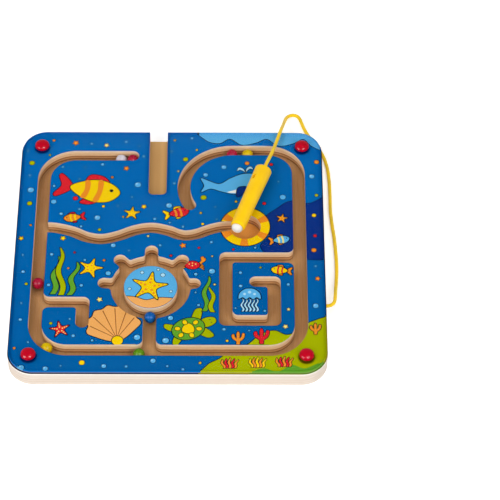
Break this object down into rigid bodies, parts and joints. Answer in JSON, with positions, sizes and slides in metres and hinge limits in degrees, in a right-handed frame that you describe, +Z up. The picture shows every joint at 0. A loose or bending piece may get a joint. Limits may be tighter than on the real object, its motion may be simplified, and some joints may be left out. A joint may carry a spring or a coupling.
{
  "type": "magnetic maze board",
  "caption": "Square wooden board with ball tracks under a clear cover, coloured steel balls, and a magnet pen on a cord.",
  "frame": {"origin": "middle of the board's underside, on the surface that it lies on", "axes": "+Z up through the board's thickness, +X to the side where the cord leaves, +Y to the far edge where the pen's slot opens"},
  "size_m": [0.3135, 0.3394, 0.0368],
  "materials": {
    "base_plywood": "sanded pale plywood",
    "routed_plywood": "routed plywood, matt",
    "print": null,
    "island_print": "printed laminate",
    "clear_acrylic": "clear gloss sheet",
    "red_plastic": "gloss",
    "yellow_plastic": "satin moulded",
    "white_plastic": "satin",
    "magnet": "plated",
    "yellow_cord": "smooth round cord",
    "red_ball": "gloss paint",
    "silver_ball": "gloss paint",
    "yellow_ball": "gloss paint",
    "green_ball": "gloss paint",
    "blue_ball": "gloss paint"
  },
  "bodies": {
    "board": {"base_plate": "base_plywood", "track_plate": "routed_plywood", "ring_island": "routed_plywood", "print_sheet": "print", "island_print": "island_print", "cover_sheet": "clear_acrylic", "cover_pin_far_left": "red_plastic", "cover_pin_far_right": "red_plastic", "cover_pin_near_left": "red_plastic", "cover_pin_near_right": "red_plastic", "cord": "yellow_cord"},
    "pen": {"pen_body": "yellow_plastic", "pen_plug": "yellow_plastic", "pen_tip": "white_plastic", "pen_magnet": "magnet"},
    "red_far_ball": {"ball_red_far": "red_ball"},
    "silver_ball": {"ball_silver": "silver_ball"},
    "red_left_ball": {"ball_red_left": "red_ball"},
    "red_arc_ball": {"ball_red_arc": "red_ball"},
    "yellow_arc_ball": {"ball_yellow_arc": "yellow_ball"},
    "yellow_corner_ball": {"ball_yellow_corner": "yellow_ball"},
    "green_ball": {"ball_green": "green_ball"},
    "blue_ball": {"ball_blue": "blue_ball"}
  },
  "joints": [
    {"name": "ball_silver_roll", "type": "slide", "parent": "board", "child": "silver_ball", "axis": [-1, 0, 0], "range_m": [0, 0.042]},
    {"name": "ball_red_far_roll", "type": "slide", "parent": "board", "child": "red_far_ball", "axis": [-1, 0, 0], "range_m": [0, 0.042]},
    {"name": "ball_red_left_roll", "type": "slide", "parent": "board", "child": "red_left_ball", "axis": [0, 1, 0], "range_m": [-0.036, 0.122]},
    {"name": "ball_red_arc_roll", "type": "hinge", "parent": "board", "child": "red_arc_ball", "pos_m": [0.0609, 0.0791, 0.0098], "axis": [0, 0, 1], "range_deg": [0, 115]},
    {"name": "ball_yellow_arc_roll", "type": "slide", "parent": "board", "child": "yellow_arc_ball", "axis": [1, 0, 0], "range_m": [-0.003, 0.019]},
    {"name": "ball_yellow_corner_roll", "type": "hinge", "parent": "board", "child": "yellow_corner_ball", "pos_m": [-0.095, -0.0911, 0.0098], "axis": [0, 0, 1], "range_deg": [-32, 36]},
    {"name": "ball_green_roll", "type": "slide", "parent": "board", "child": "green_ball", "axis": [1, 0, 0], "range_m": [-0.05, 0.12]},
    {"name": "ball_blue_roll", "type": "hinge", "parent": "board", "child": "blue_ball", "pos_m": [-0.0177, -0.0468, 0.0098], "axis": [0, 0, 1], "continuous": true},
    {"name": "pen_lift", "type": "slide", "parent": "board", "child": "pen", "axis": [0, 0, 1], "range_m": [0, 0.03], "deforming": ["cord"]}
  ],
  "couplings": [
    {"joint": "ball_red_far_roll", "follows": "ball_silver_roll", "ratio": 1}
  ]
}
